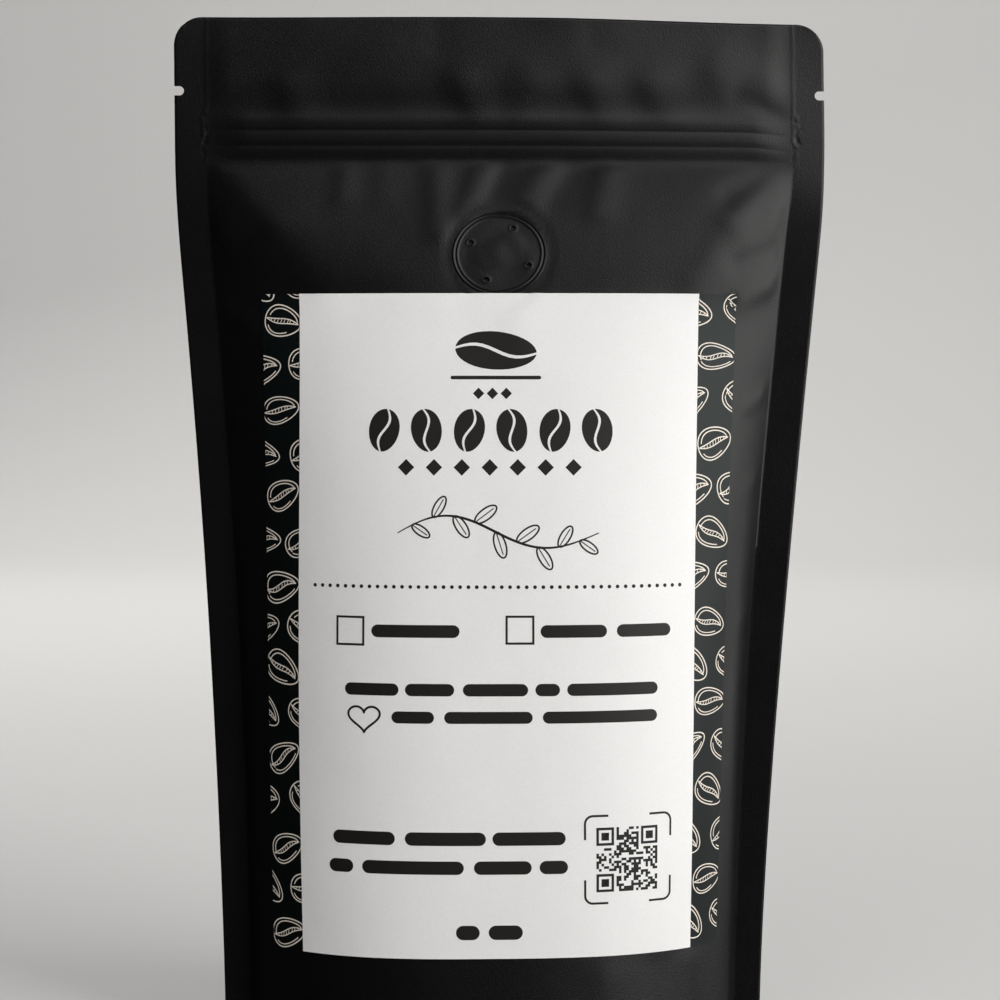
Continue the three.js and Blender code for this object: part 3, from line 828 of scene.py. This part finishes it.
# The row of dots and the patch of squares: one small face repeated on points
def buildDots():
    tree, given, result = pieceTree("dottedRule", {**layout["rule"], "lift": printLift})
    line = geo(tree, "MeshLine", {
        "Count": given["count"], "Start Location": vector(tree, given["left"], 0.0, 0.0),
        "Offset": vector(tree, given["right"], 0.0, 0.0)}, mode="END_POINTS")
    dot = geo(tree, "MeshCircle", {"Vertices": 16, "Radius": given["dot"] / 2}, fill_type="NGON")
    dots = geo(tree, "InstanceOnPoints", {"Points": line, "Instance": dot, "Rotation": upright})
    dots = geo(tree, "RealizeInstances", {0: dots})
    lay(tree, given, dots, given["up"], result)
    return tree


def buildCode():
    tree, given, result = pieceTree("codeCells", {**layout["code"], "lift": printLift})
    cell = given["size"] / given["cells"]
    inner = given["size"] - cell
    grid = geo(tree, "MeshGrid", {"Size X": inner, "Size Y": inner, "Vertices X": given["cells"],
                                  "Vertices Y": given["cells"]})
    x, y, _ = parts(tree, geo(tree, "InputPosition"))
    reach = (given["cells"] - 1) / 2 - 7.5
    corner = (x.abs() / cell).calc("GREATER_THAN", reach) * (y.abs() / cell).calc("GREATER_THAN", reach)
    plainCorner = x.calc("GREATER_THAN", 0) * y.calc("LESS_THAN", 0)
    chance = addNode(tree, "FunctionNodeRandomValue", {"Seed": given["seed"], "Probability": given["fill"]},
                     data_type="BOOLEAN").outputs[3]
    keep = Wire(tree, chance) * (1 - corner * (1 - plainCorner))
    side = cell * 1.01
    square = geo(tree, "MeshGrid", {"Size X": side, "Size Y": side, "Vertices X": 2, "Vertices Y": 2})
    cells = geo(tree, "InstanceOnPoints", {"Points": grid, "Selection": keep, "Instance": square})
    cells = geo(tree, "RealizeInstances", {0: cells})
    half = given["size"] / 2
    cells = geo(tree, "Transform", {"Geometry": cells, "Rotation": upright, "Translation": vector(
        tree, given["left"] + half, 0.0, half)})
    lay(tree, given, cells, given["low"], result)
    return tree


dotPiece = grow("dottedRule", buildDots(), {**layout["rule"], "lift": printLift, "material": inkMaterial})
codePiece = grow("codeCells", buildCode(), {**layout["code"], "lift": printLift, "material": inkMaterial})


# Line drawings of beans on the label's dark borders
bean = {"kinds": 3, "length": 11.8, "width": 8.3, "line": 0.35}
borders = {"rows": 9, "pitch": 12.2, "outerShift": 7.2, "inner": faceLayer["halfWidth"] + 0.12,
           "outer": backLayer["halfWidth"] - 0.1, "foot": label["foot"] + 0.1, "top": label["top"] - 0.1,
           "lift": 0.285, "seed": 5}


def drawBean(drawing, kind):
    a, b, line = bean["length"] / 2, bean["width"] / 2, bean["line"]
    rng = random.Random(borders["seed"] + kind)

    # an egg shape whose narrow end is at its right
    def outline(scale, wobble, start, end, count):
        path = []
        for k in range(count + 1):
            t = start + (end - start) * k / count
            r = scale * (1 + wobble * math.sin(2 * t + kind))
            path.append((a * r * (math.cos(t) + 0.05 * math.cos(2 * t)),
                         b * r * math.sin(t) * (1 - (0.14 + 0.05 * kind) * math.cos(t))))
        return path
    drawing.stroke(outline(1.0, 0.02, 0, 2 * math.pi, 36)[:-1], line, True)
    drawing.stroke(outline(0.79, 0.03, 0.12, 2.9 + 0.3 * kind, 24), line * 0.9)
    drawing.stroke(outline(0.82, 0.05, 3.6, 5.2 + 0.3 * kind, 16), line * 0.8)
    # the crease has two sides and short strokes across it
    sway = 0.06 + 0.05 * kind
    for side in (-1, 1):
        path = [(a * 0.9 * s, b * (sway * math.sin(math.pi * s) + side * 0.16 * (1 - s * s)))
                for s in (-1 + 2 * k / 16 for k in range(17))]
        drawing.stroke(path, line * 0.85)
    for k in range(8):
        s = -0.62 + 0.18 * k + rng.uniform(-0.03, 0.03)
        z = b * sway * math.sin(math.pi * s)
        drawing.stroke([(a * s - 0.12, z - b * 0.11), (a * s + 0.12, z + b * 0.11)], line * 0.6)


def drawBeans():
    drawing, kinds = Drawing(), []
    for kind in range(bean["kinds"]):
        drawBean(drawing, kind)
        kinds += [kind] * (len(drawing.points) - len(kinds))
    mesh = drawing.mesh("beanDrawings")
    mesh.attributes.new("kind", "INT", "POINT").data.foreach_set("value", kinds)
    return mesh


def buildBeans():
    tree, given, result = pieceTree("beanBorders", {"drawings": "mesh", **borders})
    kind = geo(tree, "InputNamedAttribute", {"Name": "kind"}, data_type="INT")
    choices = []
    for k in range(bean["kinds"]):
        same = addNode(tree, "FunctionNodeCompare", {"A": kind, "B": k}, data_type="INT", operation="EQUAL")
        one = geo(tree, "SeparateGeometry", {0: given["drawings"], 1: same.outputs[0]})
        choices.append(geo(tree, "GeometryToInstance", {0: one}))
    middle = (given["inner"] + given["outer"]) / 2
    columns = []
    for side in (-1.0, 1.0):
        for shift, stagger in ((0.0, 0.0), (-1.0, 0.5), (1.0, 0.5)):
            x = (middle + given["outerShift"] * shift) * side
            first = given["foot"] + given["pitch"] * 2 * (stagger - 0.2 * side)
            columns.append(geo(tree, "MeshLine", {
                "Count": given["rows"], "Start Location": vector(tree, x, 0.0, first),
                "Offset": vector(tree, 0.0, 0.0, given["pitch"] * 2)}, mode="OFFSET"))

    def chance(low, high, seed, kindOf="FLOAT_VECTOR"):
        node = addNode(tree, "FunctionNodeRandomValue", data_type=kindOf)
        lowSocket, highSocket, output = {"FLOAT_VECTOR": (0, 1, 0), "INT": (4, 5, 2)}[kindOf]
        connect(tree, low, node.inputs[lowSocket])
        connect(tree, high, node.inputs[highSocket])
        connect(tree, given["seed"] + seed, node.inputs["Seed"])
        return node.outputs[output]
    spots = geo(tree, "SetPosition", {"Geometry": join(tree, columns),
                                      "Offset": chance((-0.7, 0, -1.1), (0.7, 0, 1.1), 1)})
    placed = geo(tree, "InstanceOnPoints", {
        "Points": spots, "Instance": join(tree, choices), "Pick Instance": True,
        "Instance Index": chance(0, 2, 2, "INT"), "Rotation": chance((0, -0.6, 0), (0, 0.8, 0), 3),
        "Scale": chance((0.9, 1, 0.88), (1.08, 1, 1.08), 4)})
    drawn = geo(tree, "RealizeInstances", {0: placed})
    # what passes the border's edges is pressed flat on them, and faces left without area are dropped
    x, y, z = parts(tree, geo(tree, "InputPosition"))
    inX = x.sign() * x.abs().max(given["inner"]).min(given["outer"])
    inZ = z.max(given["foot"]).min(given["top"])
    drawn = geo(tree, "SetPosition", {"Geometry": drawn, "Position": vector(tree, inX, y, inZ)})
    noArea = calc(tree, "LESS_THAN", geo(tree, "InputMeshFaceArea"), 0.0004)
    kept = geo(tree, "DeleteGeometry", {0: drawn, "Selection": noArea}, domain="FACE")
    lay(tree, given, kept, 0.0, result)
    return tree


beanPiece = grow("beanBorders", buildBeans(), {**borders, "material": beanInkMaterial}, drawBeans())
print("print ready")

for piece, node, slot in (
        (pouchPiece, "pouch", "film"), (valvePiece, "degassing_valve", "valve"),
        (backSheet, "label_backing", "label_dark"), (faceSheet, "label_face", "label_white")):
    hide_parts(node)
    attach(piece, "root")
for piece in (inkPiece, dotPiece, codePiece, beanPiece):
    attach(piece, "root")

# Floor and wall in one sweep
room = {"front": -2.2, "bend": 1.6, "wall": 2.4, "height": 2.6, "half": 3.2, "bendSteps": 12,
        "colour": (0.62, 0.61, 0.6, 1)}


def buildRoom():
    side = [(room["front"], 0.0), (room["bend"], 0.0)]
    radius = room["wall"] - room["bend"]
    for k in range(1, room["bendSteps"] + 1):
        a = math.pi / 2 * k / room["bendSteps"]
        side.append((room["bend"] + radius * math.sin(a), radius * (1 - math.cos(a))))
    side.append((room["wall"], room["height"]))
    points = [(x, y, z - 0.0001) for y, z in side for x in (-room["half"], room["half"])]
    faces = [(2 * k, 2 * k + 1, 2 * k + 3, 2 * k + 2) for k in range(len(side) - 1)]
    mesh = meshOf("studioSweep", points, faces)
    for polygon in mesh.polygons:
        polygon.use_smooth = True
    sweep = bpy.data.objects.new("studioSweep", mesh)
    bpy.context.scene.collection.objects.link(sweep)
    material = bpy.data.materials.new("studioPaper")
    material.use_nodes = True
    shader = material.node_tree.nodes["Principled BSDF"]
    shader.inputs["Base Color"].default_value = room["colour"]
    shader.inputs["Roughness"].default_value = 0.8
    mesh.materials.append(material)
    sweep.visible_glossy = False
    sweep.visible_shadow = False


buildRoom()

# "lit" says what a lamp reaches: the soft light on everything, or the sheen on smooth surfaces
lights = {
    "key": dict(at=(1.0, -0.69, 0.62), aim=(0, 0, 0.15), size=(0.8, 0.9), power=15.0, lit="soft"),
    "fill": dict(at=(-0.7, -1.3, 0.7), aim=(0, 0, 0.15), size=(1.2, 1.2), power=4.0, lit="soft"),
    "window": dict(at=(1.06, -0.78, 0.68), aim=(0, 0, 0.2), size=(1.6, 2.1), power=24.2, lit="sheen"),
    "side": dict(at=(1.45, 0.35, 0.42), aim=(0, 0, 0.2), size=(0.9, 1.5), power=5.5, lit="sheen"),
    "above": dict(at=(-0.1, -0.98, 1.15), aim=(0, 0, 0.25), size=(0.9, 0.6), power=0.55, lit="sheen"),
    "wall": dict(at=(0.3, 1.3, 1.9), aim=(0, 2.0, 0.4), size=(2.0, 1.0), power=25.0, lit="soft"),
    "rear": dict(at=(-0.5, 1.5, 1.2), aim=(0, 0, 0.15), size=(1.0, 0.8), power=12.0, lit="both"),
}
for name, light in lights.items():
    data = bpy.data.lights.new(name, "AREA")
    data.shape = "RECTANGLE"
    data.size, data.size_y = light["size"]
    data.energy = light["power"]
    data.color = (1.0, 0.99, 0.975)
    lamp = bpy.data.objects.new(name, data)
    lamp.location = light["at"]
    lamp.rotation_euler = (Vector(light["aim"]) - lamp.location).to_track_quat("-Z", "Y").to_euler()
    lamp.visible_glossy = light["lit"] != "soft"
    lamp.visible_diffuse = light["lit"] != "sheen"
    bpy.context.scene.collection.objects.link(lamp)

# The room is dimmer in the film's sheen than in its soft light
softLight, sheenLight = 0.12, 0.012
world = bpy.data.worlds.new("studio")
world.use_nodes = True
worldTree = world.node_tree
sheenRay = Wire(worldTree, addNode(worldTree, "ShaderNodeLightPath").outputs["Is Glossy Ray"])
background = worldTree.nodes["Background"]
background.inputs["Color"].default_value = (0.9, 0.95, 1.0, 1)
connect(worldTree, softLight - (softLight - sheenLight) * sheenRay, background.inputs["Strength"])
bpy.context.scene.world = world

# The photo's camera: 0.8 m in front of the seals' plane, a little above the middle, looking slightly down
cameraSetup = {"at": (-0.00046, -0.8, 0.2022), "pitch": 3.47, "lens": 100.9}
camera = bpy.data.objects.new("camera", bpy.data.cameras.new("camera"))
camera.location = cameraSetup["at"]
camera.rotation_euler = (math.radians(90 - cameraSetup["pitch"]), 0, 0)
camera.data.lens = cameraSetup["lens"]
camera.data.sensor_width = 36
camera.data.clip_start = 0.01
bpy.context.scene.collection.objects.link(camera)
bpy.context.scene.camera = camera
bpy.context.scene.view_settings.view_transform = "Standard"
print("camera and lights ready")
